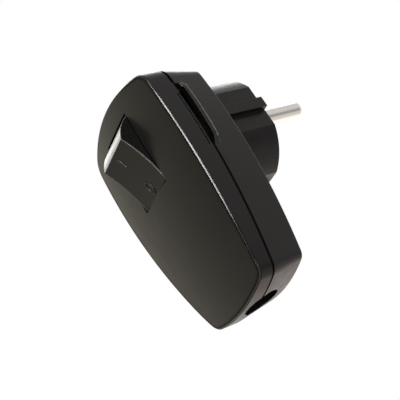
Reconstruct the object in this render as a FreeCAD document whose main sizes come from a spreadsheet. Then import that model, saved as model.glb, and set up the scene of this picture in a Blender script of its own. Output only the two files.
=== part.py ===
"""Angled mains plug with a built-in two-pole rocker switch.

Frame: the origin is the centre of the plug's face, midway between the two pins.
+Y runs towards the wall, along the pins. +Z runs up to the broad end that holds
the rocker, and the cord leaves at the -Z end. Sizes are in millimetres.
"""
import FreeCAD, Part
import math
import os
import re
from types import SimpleNamespace

Vector = FreeCAD.Vector
Rotation = FreeCAD.Rotation
Placement = FreeCAD.Placement

# Driving dimensions, millimetres and degrees
SIZES = {
    # casing outline at the parting plane
    "half_width": 24.1,
    "widest_z": -2.1,
    "top_z": 21.05,
    "foot_z": -53.55,
    "crown_radius": 56.8,
    "shoulder_radius": 5.7,
    "side_radius": 157.7,
    "corner_radius": 4.6,
    "foot_radius": 51.0,
    # casing depth and walls
    "plug_depth": 17.8,
    "base_depth": 12.4,
    "rear_inset": 2.0,
    "crown_height": 10.3,
    "dome_cross_radius": 111.7,
    "dome_long_radius": 344.0,
    "dome_peak_z": 2.8,
    "wall": 2.2,
    "edge_bevel": 0.4,
    "parting_gap": 0.45,
    "top_relief": 0.5,
    "tongue": 1.0,
    "tongue_reach": 1.4,
    "fit_gap": 0.1,
    # plug body
    "plug_radius": 18.6,
    "plug_flat": 17.0,
    "plug_wall": 2.0,
    "face_wall": 3.0,
    "face_bevel": 0.5,
    "rib_height": 2.0,
    "rib_width": 3.6,
    "clip_seat": 17.7,
    # pins
    "pin_spacing": 19.0,
    "pin_dia": 4.8,
    "pin_length": 19.5,
    "pin_tip_round": 1.4,
    "shoulder_dia": 5.2,
    "stem_dia": 7.0,
    # earth clip and earth sleeve
    "strip": 0.8,
    "clip_width": 5.0,
    "clip_start": 2.0,
    "clip_cross": 14.6,
    "clip_spring": 0.5,
    "earth_offset": 10.0,
    "earth_hole_dia": 5.4,
    "sleeve_dia": 7.0,
    "sleeve_wall": 1.3,
    "sleeve_bore": 5.0,
    "earth_tab_width": 3.2,
    "earth_pad_width": 8.0,
    "earth_screw_z": -30.6,
    # rocker
    "rocker_reach": 8.6,
    "rocker_axis_z": 0.96,
    "rocker_radius": 14.0,
    "rocker_half_angle": 38.75,
    "rocker_tilt": 20.75,
    "rocker_width": 16.7,
    "rocker_dish": 1.0,
    "rocker_wall": 1.5,
    "rocker_skirt_angle": 92.0,
    "opening_gap": 0.25,
    "opening_end_gap": 0.75,
    "trunnion_dia": 4.0,
    "trunnion_reach": 1.7,
    "running_gap": 0.05,
    "ear_thick": 2.2,
    "ear_width": 8.0,
    "snap_slot": 3.36,
    # followers in the rocker
    "pole_x": 4.6,
    "follower_width": 2.8,
    "follower_length": 5.0,
    "follower_gap": 0.12,
    "guide_width": 4.0,
    "guide_clearance": 2.9,
    "guide_rise": 10.1,
    "spring_length": 5.2,
    "spring_dia": 2.6,
    # contact bars
    "bar_tilt": 8.0,
    "bar_width": 3.8,
    "bar_half_length": 7.6,
    "bar_lift": 0.5,
    "knuckle_dia": 1.8,
    "cradle_reach": 3.3,
    "cradle_height": 2.8,
    "bead_dia": 1.6,
    "bead_u": 6.4,
    "bead_w": 0.35,
    # carrier and terminals
    "carrier_thick": 1.6,
    "carrier_side": 17.0,
    "carrier_top": 16.4,
    "carrier_corner_x": 6.5,
    "carrier_corner_z": 6.9,
    "carrier_cut_z": -14.4,
    "lug_width": 4.0,
    "saddle_height": 2.2,
    "saddle_width": 3.2,
    "barrier_thick": 1.2,
    "barrier_height": 6.6,
    "barrier_length": 19.0,
    "block_width": 6.8,
    "block_length": 8.5,
    "block_height": 6.6,
    "block_z": -16.6,
    "wire_hole_dia": 3.2,
    "wire_hole_height": 2.6,
    # screws
    "pin_screw_dia": 3.0,
    "pin_screw_length": 9.0,
    "head_dia": 5.4,
    "head_height": 1.8,
    "driver_slot": 0.8,
    "terminal_screw_dia": 3.0,
    "load_screw_length": 2.6,
    "earth_screw_length": 2.4,
    "clamp_screw_length": 7.0,
    "screw_clearance": 0.4,
    "pilot_gap": 0.5,
    "case_screw_x": 13.0,
    "case_screw_z": -36.0,
    "case_screw_dia": 2.9,
    "case_screw_length": 13.5,
    "case_pilot_depth": 6.0,
    "case_head_dia": 5.4,
    "case_head_height": 1.6,
    "case_head_sink": 0.4,
    "boss_width": 6.6,
    # cord outlet and clamp
    "outlet_dia": 11.4,
    "outlet_offset": 2.2,
    "clamp_z": -44.0,
    "clamp_width": 5.0,
    "clamp_screw_x": 9.4,
    "clamp_thick": 1.9,
    "clamp_lift": 0.5,
    "clamp_arch_dia": 7.4,
    "clamp_boss_width": 5.4,
    "clamp_head_height": 1.3,
    "saddle_depth": 4.2,
    # grip slots in the side walls
    "slot_top": 10.2,
    "slot_knee": -9.2,
    "slot_foot": -11.2,
    "slot_bottom": -14.0,
    "slot_top_width": 4.3,
    "slot_knee_width": 3.7,
    "slot_foot_width": 2.7,
    "slot_corner": 1.0,
    "slot_foot_rise": 0.8,
    "slot_lip": 0.2,
    "slot_lip_depth": 0.3,
    "slot_ledge": 1.25,
    "slot_end_ledge": 0.25,
    "channel_corner": 1.5,
    "channel_slope": 2.0,
    "cover_strip": 0.5,
    "cover_strip_depth": 0.2,
    "cover_groove": 0.75,
    "cover_groove_depth": 0.7,
    "cover_groove_top": 6.0,
    "cover_groove_bottom": -12.6,
    # hook at the broad end
    "hook_width": 8.0,
    "hook_thick": 1.2,
    "hook_reach": 3.0,
    "hook_nib": 0.6,
    "nib_length": 2.0,
    "nib_crest": 1.6,
    "stop_x": 6.0,
}

doc = FreeCAD.newDocument("switched_plug")
sheet = doc.addObject("Spreadsheet::Sheet", "dims")
for row, (alias, value) in enumerate(SIZES.items(), start=1):
    sheet.set("A%d" % row, alias.replace("_", " "))
    sheet.set("B%d" % row, str(value))
    sheet.setAlias("B%d" % row, alias)
doc.recompute()
s = SimpleNamespace(**{alias: float(sheet.get(alias)) for alias in SIZES})

WORD = re.compile(r"[a-z_]+")
NEAR = 0.05
nodes = {}


def bind(obj, prop, formula):
    """Bind a property to a formula written with the sheet's aliases."""
    text = WORD.sub(lambda w: "dims." + w.group() if w.group() in SIZES else w.group(), str(formula))
    obj.setExpression(prop, text)


def place(obj, at, rotation=Rotation()):
    """Put an object at three formulas, with a fixed rotation."""
    obj.Placement = Placement(Vector(0, 0, 0), rotation)
    for axis, formula in zip("xyz", at):
        bind(obj, "Placement.Base." + axis, formula)


def box(low, size):
    """Box from its low corner and its three sizes, all formulas."""
    obj = doc.addObject("Part::Box", "box")
    for prop, formula in zip(("Length", "Width", "Height"), size):
        bind(obj, prop, formula)
    place(obj, low)
    return obj


TURN = {
    "X": Rotation(Vector(0, 1, 0), 90),
    "Y": Rotation(Vector(1, 0, 0), -90),
    "Z": Rotation(),
}


def rod(axis, start, dia, length):
    """Cylinder that runs from its start along +X, +Y or +Z."""
    obj = doc.addObject("Part::Cylinder", "rod")
    bind(obj, "Radius", "(%s)/2" % dia)
    bind(obj, "Height", length)
    place(obj, start, TURN[axis])
    return obj


def solid(shape):
    """Carrier object for a shape made with Part's own functions."""
    obj = doc.addObject("Part::Feature", "form")
    obj.Shape = shape
    return obj


def fuse(*parts):
    obj = doc.addObject("Part::MultiFuse", "fuse")
    obj.Shapes = list(parts)
    obj.Refine = True
    return obj


def cut(base, *tools):
    obj = doc.addObject("Part::Cut", "cut")
    obj.Base = base
    obj.Tool = tools[0] if len(tools) == 1 else fuse(*tools)
    obj.Refine = True
    return obj


def common(first, second):
    obj = doc.addObject("Part::MultiCommon", "common")
    obj.Shapes = [first, second]
    return obj


def group(*parts):
    """Several separate solids kept as one node."""
    obj = doc.addObject("Part::Compound", "group")
    obj.Links = list(parts)
    return obj


def node(name, obj):
    """Give a finished sub-part its own name."""
    obj.Label = name
    nodes[name] = obj
    return obj


# Places that several pieces share
FLOOR = "-(plug_depth + wall)"
PARTING = "-(plug_depth + base_depth)"
CROWN = "-(plug_depth + base_depth + crown_height)"
CARRIER_TOP = "-(plug_depth + wall + carrier_thick)"
BAR_AXIS = "-(plug_depth + wall + carrier_thick + saddle_height)"
CORD_AXIS = "-(plug_depth + base_depth - outlet_offset)"
CASE_SEAT = "-(plug_depth + case_head_sink + case_head_height)"
ROCKER_AXIS = "-(plug_depth + wall + carrier_thick + saddle_height + rocker_reach)"
GUIDE_REACH = "(rocker_reach - bar_lift - strip - guide_clearance)"
SIDES = (("left", -1), ("right", 1))

rear_y = -s.plug_depth
floor_y = rear_y - s.wall
parting_y = rear_y - s.base_depth
crown_y = parting_y - s.crown_height
carrier_top_y = floor_y - s.carrier_thick
bar_axis_y = carrier_top_y - s.saddle_height
rocker_axis_y = bar_axis_y - s.rocker_reach
cord_axis_y = parting_y + s.outlet_offset


def polar(centre, radius, angle, y):
    """Point on a circle in a plane of constant y; the angle runs from +X to +Z."""
    return Vector(centre[0] + radius * math.cos(angle), y, centre[1] + radius * math.sin(angle))


def arc(centre, radius, start, end, y):
    points = [polar(centre, radius, a, y) for a in (start, (start + end) / 2, end)]
    return Part.Arc(*points).toShape()


def meet(first, first_radius, second, second_radius):
    """Both crossings of two circles."""
    dx, dz = second[0] - first[0], second[1] - first[1]
    gap = math.hypot(dx, dz)
    along = (first_radius ** 2 - second_radius ** 2 + gap ** 2) / (2 * gap)
    across = math.sqrt(first_radius ** 2 - along ** 2)
    return [(first[0] + (along * dx - turn * dz) / gap, first[1] + (along * dz + turn * dx) / gap)
            for turn in (across, -across)]


def heading(origin, target):
    return math.atan2(target[1] - origin[1], target[0] - origin[0])


def outline(y, inset=0.0):
    """Casing outline of eight tangent arcs, drawn in by an even inset."""
    crown = (0.0, s.top_z - s.crown_radius)
    side = (s.half_width - s.side_radius, s.widest_z)
    foot = (0.0, s.foot_z + s.foot_radius)
    shoulder = max(meet(side, s.side_radius - s.shoulder_radius, crown, s.crown_radius - s.shoulder_radius))
    corner = min(meet(side, s.side_radius - s.corner_radius, foot, s.foot_radius - s.corner_radius),
                 key=lambda point: point[1])
    crown_end = heading(crown, shoulder)
    side_top = heading(side, shoulder)
    side_low = heading(side, corner)
    foot_start = heading(foot, corner)
    right = [
        (shoulder, s.shoulder_radius - inset, crown_end, side_top),
        (side, s.side_radius - inset, side_top, side_low),
        (corner, s.corner_radius - inset, side_low, foot_start),
    ]
    edges = [arc(crown, s.crown_radius - inset, math.pi - crown_end, crown_end, y)]
    edges += [arc(centre, radius, start, end, y) for centre, radius, start, end in right]
    edges.append(arc(foot, s.foot_radius - inset, foot_start, -math.pi - foot_start, y))
    edges += [arc((-centre[0], centre[1]), radius, math.pi - end, math.pi - start, y)
              for centre, radius, start, end in reversed(right)]
    return Part.Wire(edges)


def draft(y):
    """Inset of the base's outline at one depth."""
    return s.rear_inset * (y - parting_y) / (rear_y - parting_y)


def stack(*sections):
    """Block that joins casing outlines, each given by its y and its inset, with straight walls."""
    wires = [outline(y, inset) for y, inset in sections]
    steps = [Part.makeLoft([low, high], True, True) for low, high in zip(wires, wires[1:])]
    block = steps[0]
    for step in steps[1:]:
        block = block.fuse(step)
    return block.removeSplitter()


def drafted(y_from, y_to, extra):
    return stack((y_from, draft(y_from) + extra), (y_to, draft(y_to) + extra))


def straight(y_from, y_to, inset):
    face = Part.Face(outline(y_from, inset))
    return face.extrude(Vector(0, y_to - y_from, 0))


def dome_section(drop, angle):
    """Section under the domed front: an arc across the casing, swung by an angle about the dome's X axis."""
    peak = crown_y + drop
    half_angle = math.asin(2 * s.half_width / s.dome_cross_radius)

    def point(turn):
        return Vector(s.dome_cross_radius * math.sin(turn),
                      peak + s.dome_cross_radius * (1 - math.cos(turn)), s.dome_peak_z)
    left, right = point(-half_angle), point(half_angle)
    corners = [right, Vector(right.x, rear_y, right.z), Vector(left.x, rear_y, left.z), left]
    curve = Part.Arc(left, point(0), right).toShape()
    wire = Part.Wire([curve] + [Part.makeLine(*pair) for pair in zip(corners, corners[1:])])
    wire.rotate(dome_axis(drop), Vector(1, 0, 0), angle)
    return wire


def dome_axis(drop):
    """Point on the axis that the dome's long arc turns about."""
    return Vector(0, crown_y + drop + s.dome_long_radius, s.dome_peak_z)


def dome_angle(z):
    """Swing of the dome's section that reaches a height, in degrees."""
    return math.degrees(math.asin((s.dome_peak_z - z) / s.dome_long_radius))


def dome(drop):
    """Space behind the domed front, lowered by a drop."""
    swing = 2 * dome_angle(s.foot_z)
    return Part.Face(dome_section(drop, -swing)).revolve(dome_axis(drop), Vector(1, 0, 0), 2 * swing)


def roof(runs=2):
    """Space under the cover's inner face, which follows the dome in straight runs of even length."""
    top, foot = dome_angle(s.top_z), dome_angle(s.foot_z)
    half = (foot - top) / (2 * runs)
    sag = s.dome_long_radius * (1 - math.cos(math.radians(half)))
    space = None
    for run in range(runs):
        angle = top + (2 * run + 1) * half
        turn = Rotation(Vector(1, 0, 0), angle)
        profile = Part.Face(dome_section(s.wall, angle))
        profile.translate(turn.multVec(Vector(0, sag, s.foot_z - s.top_z)))
        prism = profile.extrude(turn.multVec(Vector(0, 0, 2 * (s.top_z - s.foot_z))))
        space = prism if space is None else space.common(prism)
    return space


def edges_at(shape, y):
    """Edges that lie wholly in the plane of one y."""
    found = []
    for edge in shape.Edges:
        bound = edge.BoundBox
        if max(abs(bound.YMin - y), abs(bound.YMax - y)) < NEAR:
            found.append(edge)
    return found


def plug_section(inset, y_from, y_to):
    """Round plug body with two side flats."""
    start = ("0", str(y_from), "0")
    body = rod("Y", start, "2*(plug_radius - %s)" % inset, str(y_to - y_from))
    half = "(plug_flat - %s)" % inset
    slab = box(("-" + half, str(y_from), "-plug_radius"), ("2*" + half, str(y_to - y_from), "2*plug_radius"))
    return common(body, slab)


def slot_wire(out, points):
    """Closed line in a plane that leans with the drafted wall, from (width, z) points."""
    corners = [Vector(s.half_width + out - s.rear_inset * width / s.base_depth, parting_y + width, z)
               for width, z in points]
    return Part.makePolygon(corners + corners[:1])


def slot_mouth(out, lip):
    """Outline of a grip slot's mouth, drawn in by a lip."""
    top, width, foot = s.slot_top - lip, s.slot_top_width - lip, s.slot_foot_width - lip
    return slot_wire(out, [
        (-s.slot_corner, top), (width - s.slot_corner, top), (width, top - s.slot_corner),
        (s.slot_knee_width - lip, s.slot_knee), (foot, s.slot_foot),
        (foot, s.slot_bottom + lip + s.slot_foot_rise), (-s.slot_corner, s.slot_bottom + lip)])


def grip_slot():
    """Slot through the right wall of the base, open at the parting plane, with a ledge round it."""
    skin = drafted(rear_y, parting_y - 1, s.slot_lip_depth)
    under, over = -3 * s.slot_lip_depth, 2 * s.slot_lip_depth
    lip = s.slot_lip / s.slot_lip_depth
    ledge = Part.makeLoft([slot_mouth(under, -lip * under), slot_mouth(over, -lip * over)], True, True)
    top = s.slot_top - s.slot_lip - s.slot_end_ledge
    width = s.slot_top_width - s.slot_lip - s.slot_ledge
    knee = s.slot_knee_width - s.slot_lip - s.slot_ledge
    channel = slot_wire(s.wall, [
        (-s.slot_corner, top), (width - s.channel_corner, top), (width, top - s.channel_corner),
        (knee, s.slot_knee), (-s.slot_corner, s.slot_knee - s.channel_slope * (knee + s.slot_corner))])
    return ledge.cut(skin), Part.Face(channel).extrude(Vector(-4 * s.wall, 0, 0))


def both_sides(shape):
    """A right-hand form and its mirror image."""
    return [solid(shape), solid(shape.mirror(Vector(0, 0, 0), Vector(1, 0, 0)))]


def make_rear_housing():
    """Base of the casing with the plug body: drafted walls, round body, side ribs and bosses."""
    back_y = rear_y - s.edge_bevel
    shell = stack((rear_y, draft(rear_y) + s.edge_bevel), (back_y, draft(back_y)), (parting_y, 0.0))
    plug = plug_section("0", floor_y, 0)
    seats = [box(("-plug_radius", FLOOR, low), ("2*plug_radius", "-(%s)" % FLOOR, "plug_radius"))
             for low in ("clip_seat", "-clip_seat - plug_radius")]
    plug = cut(plug, *seats)
    ribs = box(("-plug_flat - rib_height", "-plug_depth - wall/2", "-rib_width/2"),
               ("2*(plug_flat + rib_height)", "plug_depth + wall/2", "rib_width"))
    doc.recompute()
    body = plug.Shape.fuse(ribs.Shape).removeSplitter()
    body = body.makeChamfer(s.face_bevel, edges_at(body, 0))
    outer = fuse(solid(shell), solid(body))
    hollow = solid(drafted(floor_y, parting_y - 1, s.wall))
    rebate = solid(straight(parting_y + s.tongue_reach + s.fit_gap, parting_y - 1, s.wall - s.tongue))
    plug_hollow = plug_section("plug_wall", floor_y - 1, -s.face_wall)
    shell_only = cut(outer, hollow, rebate, plug_hollow)
    boss_length = "base_depth - wall - fit_gap"
    towers = [box(("%d*case_screw_x - boss_width/2" % side, PARTING + " + fit_gap",
                   "case_screw_z - boss_width/2"), ("boss_width", boss_length, "boss_width"))
              for _, side in SIDES]
    posts = [box(("%d*clamp_screw_x - clamp_boss_width/2" % side, CORD_AXIS + " - clamp_lift",
                  "clamp_z - clamp_width/2"),
                 ("clamp_boss_width", "base_depth - wall - outlet_offset + clamp_lift", "clamp_width"))
             for _, side in SIDES]
    saddle = box(("-clamp_screw_x", FLOOR + " - saddle_depth", "clamp_z - clamp_width/2"),
                 ("2*clamp_screw_x", "saddle_depth", "clamp_width"))
    sleeve_boss = box(("-sleeve_dia/2 - sleeve_wall", "-clip_cross",
                       "earth_offset - sleeve_dia/2 - sleeve_wall"),
                      ("sleeve_dia + 2*sleeve_wall", "clip_cross", "sleeve_dia + 2*sleeve_wall"))
    earth_seat = box(("-boss_width/2", FLOOR + " - carrier_thick", "earth_screw_z - boss_width/2"),
                     ("boss_width", "carrier_thick", "boss_width"))
    stops = [box(("%s*stop_x - wall/2" % side, FLOOR + " - carrier_thick", "earth_screw_z - wall/2"),
                 ("wall", "carrier_thick", "wall")) for _, side in SIDES]
    solid_parts = fuse(shell_only, *towers, *posts, saddle, sleeve_boss, earth_seat, *stops)
    tools = []
    for _, side in SIDES:
        x = "%d*case_screw_x" % side
        tools.append(rod("Y", (x, PARTING + " - 1", "case_screw_z"), "case_screw_dia + screw_clearance",
                         "base_depth + 2"))
        tools.append(rod("Y", (x, CASE_SEAT, "case_screw_z"), "case_head_dia + screw_clearance",
                         "case_head_sink + case_head_height + 1"))
        tools.append(rod("Y", ("%d*clamp_screw_x" % side, CORD_AXIS + " - clamp_lift - 1", "clamp_z"),
                         "terminal_screw_dia - pilot_gap", "clamp_screw_length + 1"))
        tools.append(rod("Y", ("%d*pin_spacing/2" % side, "-face_wall - 1", "0"), "shoulder_dia + 2*fit_gap",
                         "face_wall + 2"))
    tools.append(rod("Z", ("0", CORD_AXIS, "foot_z - 1"), "outlet_dia", "3*wall"))
    tools.append(rod("Z", ("0", CORD_AXIS, "clamp_z - clamp_width"), "clamp_arch_dia", "2*clamp_width"))
    tools.append(rod("Y", ("0", "-clip_cross - 1", "earth_offset"), "sleeve_dia + 2*fit_gap",
                     "clip_cross - face_bevel"))
    tools.append(rod("Y", ("0", "-face_wall", "earth_offset"), "earth_hole_dia", "face_wall + 1"))
    tools.append(rod("Y", ("0", FLOOR + " - carrier_thick - 1", "earth_screw_z"),
                     "terminal_screw_dia - pilot_gap", "carrier_thick + wall"))
    tools.append(box(("-clip_width/2 - fit_gap", "-clip_cross - strip - fit_gap", "-plug_radius - 1"),
                     ("clip_width + 2*fit_gap", "strip + 2*fit_gap", "2*plug_radius + 2")))
    tools.append(box(("-hook_width/2 - fit_gap", PARTING + " + tongue_reach", "top_z - rear_inset - 2*wall"),
                     ("hook_width + 2*fit_gap", "hook_reach", "rear_inset + wall + hook_nib")))
    for opening in grip_slot():
        tools += both_sides(opening)
    return node("rear_housing", cut(solid_parts, *tools))


def make_front_cover():
    """Domed cover: rim, rocker opening turned about the rocker's axis, bearing ears and bosses."""
    rim_y = parting_y - s.parting_gap
    outer = straight(rim_y, crown_y - 1, 0.0).common(dome(0.0))
    outer = outer.makeChamfer(s.edge_bevel, [e for e in outer.Edges if on_front_rim(e)])
    inner = straight(rim_y + 1, crown_y - 1, s.wall).common(roof())
    tongue = straight(parting_y + s.tongue_reach, rim_y - s.wall, s.wall - s.tongue + s.fit_gap)
    tongue = tongue.cut(straight(parting_y + s.tongue_reach + 1, rim_y - 2 * s.wall, s.wall))
    shell = cut(fuse(solid(outer), solid(tongue)), solid(inner))
    ears = []
    for _, side in SIDES:
        inner_x = "(rocker_width/2 + opening_gap)"
        low_x = inner_x if side > 0 else "-%s - ear_thick" % inner_x
        ears.append(box((low_x, CROWN, "rocker_axis_z - ear_width/2"),
                        ("ear_thick", "%s + trunnion_dia - (%s)" % (ROCKER_AXIS, CROWN), "ear_width")))
    bosses = [box(("%d*case_screw_x - boss_width/2" % side, CROWN, "case_screw_z - boss_width/2"),
                  ("boss_width", "crown_height - fit_gap", "boss_width")) for _, side in SIDES]
    hook_z = s.top_z - s.wall - s.fit_gap - s.hook_thick
    hook_low = parting_y + s.tongue_reach + s.hook_reach - 2 * s.fit_gap
    hook = box(("-hook_width/2", PARTING + " - wall", "top_z - wall - fit_gap - hook_thick"),
               ("hook_width", "wall + tongue_reach + hook_reach - 2*fit_gap", "hook_thick"))
    start = Vector(-s.hook_width / 2, hook_low, hook_z + s.hook_thick)
    crest, end = start - Vector(0, s.nib_crest, -s.hook_nib), start - Vector(0, s.nib_length, 0)
    nib_profile = Part.Face(Part.makePolygon([start, crest, end, start]))
    nib = solid(nib_profile.extrude(Vector(s.hook_width, 0, 0)))
    keep = solid(dome(s.wall / 2))
    added = common(fuse(*ears, *bosses, hook), keep)
    tools = [rod("X", ("-rocker_width/2 - opening_gap", ROCKER_AXIS, "rocker_axis_z"),
                 "2*(rocker_radius + opening_end_gap)", "rocker_width + 2*opening_gap")]
    for _, side in SIDES:
        start = "%s" % ("rocker_width/2" if side > 0 else "-rocker_width/2 - ear_thick - 1")
        tools.append(rod("X", (start, ROCKER_AXIS, "rocker_axis_z"), "trunnion_dia + 2*running_gap",
                         "ear_thick + 1"))
        tools.append(box((start, ROCKER_AXIS, "rocker_axis_z - snap_slot/2"),
                         ("ear_thick + 1", "2*trunnion_dia", "snap_slot")))
        tools.append(rod("Y", ("%d*case_screw_x" % side, PARTING + " - case_pilot_depth", "case_screw_z"),
                         "case_screw_dia - pilot_gap", "case_pilot_depth + 1"))
    tools.append(rod("Z", ("0", CORD_AXIS, "foot_z - 1"), "outlet_dia", "3*wall"))
    for recess in cover_recesses():
        tools += both_sides(recess)
    relief = box(("-half_width", PARTING + " - parting_gap - top_relief", "slot_top"),
                 ("2*half_width", "top_relief", "top_z"))
    keep_tongue = box(("-half_width + wall - fit_gap", PARTING + " - parting_gap - top_relief - 1", "0"),
                      ("2*(half_width - wall + fit_gap)", "top_relief + 2", "top_z - wall + fit_gap"))
    tools.append(cut(relief, keep_tongue))
    return node("front_cover", cut(fuse(shell, added, nib), *tools))


def on_front_rim(edge):
    """True for the edges where the domed front meets the upright walls."""
    middle = edge.valueAt((edge.FirstParameter + edge.LastParameter) / 2)
    across = middle.x ** 2 / (2 * s.dome_cross_radius)
    along = (middle.z - s.dome_peak_z) ** 2 / (2 * s.dome_long_radius)
    return abs(middle.y - (crown_y + across + along)) < NEAR and edge.Length > 1


def cover_recesses():
    """Strip and groove in the cover's wall beside a grip slot, and the gate through its tongue."""
    rim_y = parting_y - s.parting_gap

    def slab(y_low, y_high, z_low, z_high, depth):
        block = Part.makeBox(3 * s.wall, y_high - y_low, z_high - z_low,
                             Vector(s.half_width - 2 * s.wall, y_low, z_low))
        return block.cut(straight(y_high + 1, y_low - 1, depth))
    strip_y = rim_y - s.cover_strip
    reach = s.tongue_reach + s.parting_gap + 1
    return [slab(strip_y, rim_y + 1, s.cover_groove_bottom, s.cover_groove_top, s.cover_strip_depth),
            slab(strip_y - s.cover_groove, strip_y, s.cover_groove_bottom, s.cover_groove_top,
                 s.cover_groove_depth),
            slab(rim_y, rim_y + reach, s.slot_bottom + s.slot_corner, s.slot_top - s.slot_corner, 2 * s.wall)]


def sector(radius, half_angle, dish):
    """Rocker profile in its own frame: pivot at the origin, outward along -Y, sector ends round."""
    def point(r, angle):
        return Vector(0, -r * math.cos(angle), r * math.sin(angle))
    edge = math.radians(half_angle)
    skirt = math.radians(s.rocker_skirt_angle)
    middle = Vector(0, -radius * math.cos(edge) + dish, 0)
    top = Part.Arc(point(radius, -edge), middle, point(radius, edge)).toShape()
    right = Part.Arc(point(radius, edge), point(radius, (edge + skirt) / 2), point(radius, skirt)).toShape()
    left = Part.Arc(point(radius, -skirt), point(radius, -(edge + skirt) / 2), point(radius, -edge)).toShape()
    bottom = Part.makeLine(point(radius, skirt), point(radius, -skirt))
    return Part.Face(Part.Wire([top, right, bottom, left]))


def make_rocker():
    """Rocker switch button: hollow sector with a dished face, trunnions and two follower guides."""
    half = s.rocker_width / 2
    outer = sector(s.rocker_radius, s.rocker_half_angle, s.rocker_dish)
    outer.translate(Vector(-half, 0, 0))
    body = outer.extrude(Vector(s.rocker_width, 0, 0))
    corner_y = -s.rocker_radius * math.cos(math.radians(s.rocker_half_angle))
    corners = [edge for edge in edges_at(body, corner_y) if abs(edge.Length - s.rocker_width) < NEAR]
    body = body.makeFillet(s.edge_bevel / 2, corners)
    inner_radius = s.rocker_radius - s.rocker_wall
    inner_angle = math.degrees(math.acos(
        (s.rocker_radius * math.cos(math.radians(s.rocker_half_angle)) - s.rocker_wall) / inner_radius))
    core = sector(inner_radius, inner_angle, s.rocker_dish)
    core.translate(Vector(-half + s.rocker_wall, 0, 0))
    hollow = core.extrude(Vector(s.rocker_width - 2 * s.rocker_wall, 0, 0))
    below = Part.makeBox(s.rocker_width - 2 * s.rocker_wall, 1 + 2 * s.rocker_wall, 2 * inner_radius,
                         Vector(-half + s.rocker_wall, -1, -inner_radius))
    guides = [box(("%d*pole_x - guide_width/2" % side, "-guide_rise", "-guide_width/2"),
                  ("guide_width", "guide_rise + " + GUIDE_REACH, "guide_width")) for _, side in SIDES]
    web = box(("-rocker_width/2 + rocker_wall/2", "-guide_rise", "-rocker_wall/2"),
              ("rocker_width - rocker_wall", "guide_rise + trunnion_dia/2", "rocker_wall"))
    trunnions = rod("X", ("-rocker_width/2 - trunnion_reach", "0", "0"), "trunnion_dia",
                    "rocker_width + 2*trunnion_reach")
    hubs = box(("-rocker_width/2", "0", "-trunnion_dia"), ("rocker_width", "trunnion_dia/2 + rocker_wall",
                                                           "2*trunnion_dia"))
    clear_middle = box(("-rocker_width/2 + rocker_wall", "-rocker_radius", "-rocker_radius"),
                       ("rocker_width - 2*rocker_wall", "2*rocker_radius", "2*rocker_radius"))
    ends = cut(fuse(trunnions, hubs), clear_middle)
    shell = cut(solid(body), solid(hollow), solid(below))
    joined = fuse(shell, ends, *guides, web)
    bore_top = -(follower_back() + s.spring_length)
    bore_half = "(follower_width/2 + running_gap)"
    bores = [box(("%d*pole_x - %s" % (side, bore_half), str(bore_top), "-" + bore_half),
                 ("2*" + bore_half, "%s + %s + 1" % (-bore_top, GUIDE_REACH), "2*" + bore_half))
             for _, side in SIDES]
    return node("rocker", in_rocker(cut(joined, *bores)))


def follower_tip():
    """Distance of a follower's tip behind the rocker's axis."""
    return s.rocker_reach - (s.bar_lift + s.strip) - s.follower_gap


def follower_back():
    """Height of a follower's back end over the rocker's axis, in the rocker's own frame."""
    return s.follower_length - follower_tip()


def in_rocker(obj):
    """Turn a piece of the rocker to the OFF position and seat it on the rocker's axis."""
    seat = Placement(Vector(0, rocker_axis_y, s.rocker_axis_z), Rotation(Vector(1, 0, 0), s.rocker_tilt))
    obj.Placement = seat.multiply(obj.Placement)
    return obj


def turned(x, profile):
    """Solid of revolution about a line along +Y, from (radius, y) points."""
    points = [Vector(radius, y, 0) for radius, y in profile]
    shape = Part.Face(Part.makePolygon(points + points[:1])).revolve(Vector(0, 0, 0), Vector(0, 1, 0), 360)
    shape.translate(Vector(x, 0, 0))
    return shape


def round_end(radius, bend, tip):
    """Profile points of a rounded end, in two even steps."""
    angles = [0, math.pi / 4, math.pi / 2]
    return [(radius - bend + bend * math.cos(a), tip - bend + bend * math.sin(a)) for a in angles]


def make_follower(name, side):
    """Square follower with a round nose that slides in its guide and rides on a contact bar."""
    tip, half = follower_tip(), s.follower_width / 2
    nose = Part.Arc(Vector(0, tip - half, -half), Vector(0, tip, 0), Vector(0, tip - half, half)).toShape()
    corners = [Vector(0, tip - half, half), Vector(0, tip - s.follower_length, half),
               Vector(0, tip - s.follower_length, -half), Vector(0, tip - half, -half)]
    sides = [Part.makeLine(*pair) for pair in zip(corners, corners[1:])]
    profile = Part.Face(Part.Wire([nose] + sides))
    profile.translate(Vector(side * s.pole_x - half, 0, 0))
    return node(name, in_rocker(solid(profile.extrude(Vector(s.follower_width, 0, 0)))))


def make_spring(name, side):
    """Compression spring behind a follower, hidden in its guide and kept as a plain rod."""
    radius, back = s.spring_dia / 2, -follower_back()
    profile = [(0, back - s.spring_length), (radius, back - s.spring_length), (radius, back), (0, back)]
    return node(name, in_rocker(solid(turned(side * s.pole_x, profile))))


def cradle():
    """Radius and centre height of the trough that keeps a follower's gap even as both turn."""
    nose = s.follower_width / 2
    reach = follower_tip() - nose
    lift = s.rocker_reach
    swing, lean = math.radians(s.rocker_tilt), math.radians(s.bar_tilt)
    rise = lift - reach * math.cos(swing)
    end_height = rise * math.cos(lean) + reach * math.sin(swing) * math.sin(lean)
    end_offset = reach * math.sin(swing) * math.cos(lean) - rise * math.sin(lean)
    sag = end_height - (lift - reach)
    path_radius = (end_offset ** 2 + sag ** 2) / (2 * sag)
    return path_radius + nose + s.follower_gap, lift - reach + path_radius


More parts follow.
